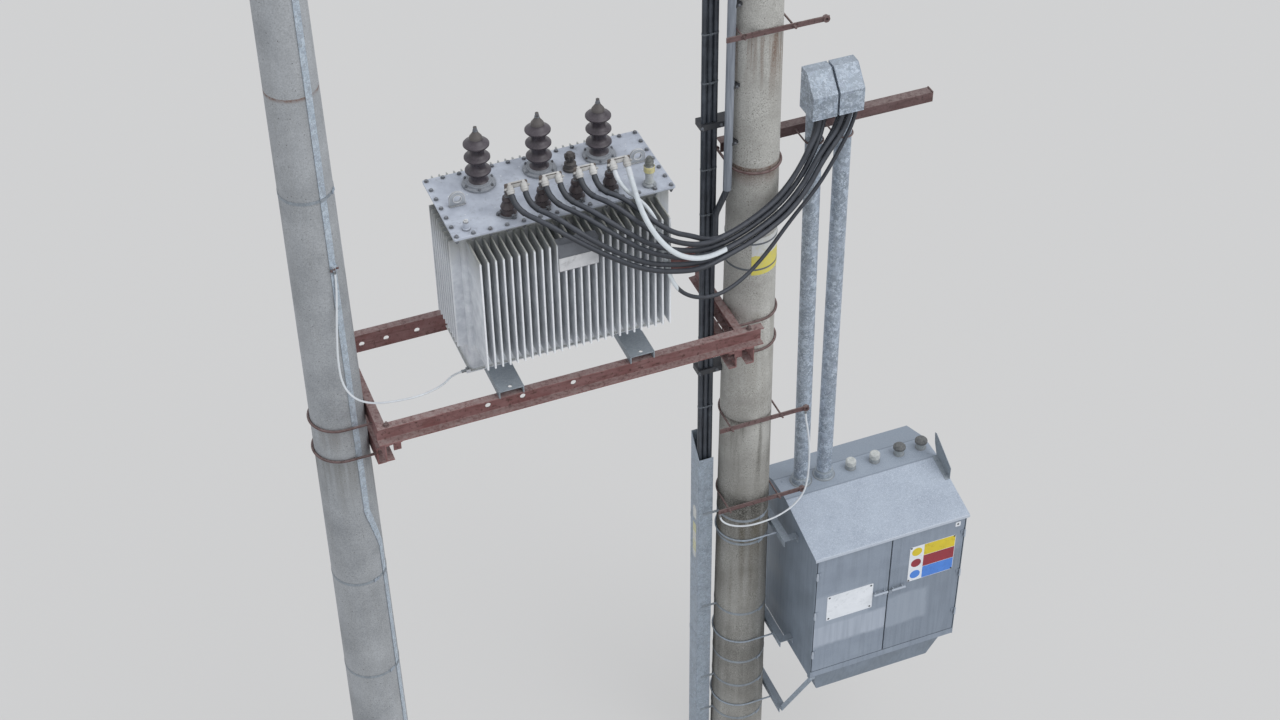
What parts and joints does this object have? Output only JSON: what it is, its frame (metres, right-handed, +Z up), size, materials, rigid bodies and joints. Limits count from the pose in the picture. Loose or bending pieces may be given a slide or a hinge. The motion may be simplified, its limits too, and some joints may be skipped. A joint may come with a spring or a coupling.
{
  "type": "pole mounted transformer",
  "caption": "Transformer with corrugated fins on channel beams between two concrete poles, with bushings, cables, conduits and a low-voltage cabinet beside one pole.",
  "frame": {"origin": "centre of the right pole's foot, at ground level", "axes": "+X from the left pole to the right pole, +Y away from the cabinet's doors, +Z up"},
  "size_m": [4.1868, 1.064, 9],
  "materials": {
    "concrete": "spun concrete, weathered",
    "oxide_steel": "oxide-red primer with rust",
    "galvanised_steel": "hot-dip galvanised, dull",
    "tank_paint": "grey paint, weathered",
    "lid_paint": "light grey paint, weathered",
    "porcelain": "dark brown glaze",
    "cabinet_paint": "blue-grey powder coat",
    "roof_paint": "blue-grey powder coat, chalked",
    "black_cable": "black sheath",
    "white_cable": "white sheath",
    "gauge_plastic": "clear tube with coloured bands",
    "stub_caps": "plastic caps"
  },
  "bodies": {
    "station": {"left_pole": "concrete", "right_pole": "concrete", "front_beam": "oxide_steel", "back_beam": "oxide_steel", "left_cross_channel": "oxide_steel", "right_cross_channel": "oxide_steel", "lower_channels": "oxide_steel", "platform_ubolts": "oxide_steel", "left_skid": "galvanised_steel", "right_skid": "galvanised_steel", "tank": "tank_paint", "front_fins": "tank_paint", "back_fins": "tank_paint", "end_fins": "tank_paint", "lid": "lid_paint", "hv_bushing_1": "porcelain", "hv_bushing_2": "porcelain", "hv_bushing_3": "porcelain", "lv_bushing_1": "porcelain", "lv_bushing_2": "porcelain", "lv_bushing_3": "porcelain", "lv_bushing_4": "porcelain", "lifting_lugs": "lid_paint", "oil_gauge": "gauge_plastic", "tap_changer": "lid_paint", "nameplate_bracket": "lid_paint", "conduit_beam": "oxide_steel", "left_conduit": "galvanised_steel", "right_conduit": "galvanised_steel", "left_hood": "galvanised_steel", "right_hood": "galvanised_steel", "conduit_clamps": "galvanised_steel", "riser_cables": "black_cable", "riser_pipe": "stub_caps", "riser_clamps": "black_cable", "cable_guard": "galvanised_steel", "support_bars": "oxide_steel", "pole_bands": "galvanised_steel", "earth_strip": "galvanised_steel", "cabinet_back": "cabinet_paint", "cabinet_left_side": "cabinet_paint", "cabinet_right_side": "cabinet_paint", "cabinet_base": "cabinet_paint", "cabinet_front_frame": "cabinet_paint", "cabinet_roof": "roof_paint", "roof_stubs": "stub_caps", "cabinet_brackets": "galvanised_steel", "cable_1a": "black_cable", "cable_1b": "black_cable", "cable_2a": "black_cable", "cable_2b": "black_cable", "cable_3a": "black_cable", "cable_3b": "black_cable", "cable_4a": "white_cable", "cable_4b": "white_cable", "earth_wire": "white_cable", "bond_wire": "white_cable"},
    "left_door": {"left_door": "cabinet_paint"},
    "right_door": {"right_door": "cabinet_paint"}
  },
  "joints": [
    {"name": "left_door_hinge", "type": "hinge", "parent": "station", "child": "left_door", "pos_m": [0.287, -0.588, 1.76], "axis": [0, 0, -1], "range_deg": [0, 110]},
    {"name": "right_door_hinge", "type": "hinge", "parent": "station", "child": "right_door", "pos_m": [1.378, -0.588, 1.76], "axis": [0, 0, 1], "range_deg": [0, 110]}
  ]
}
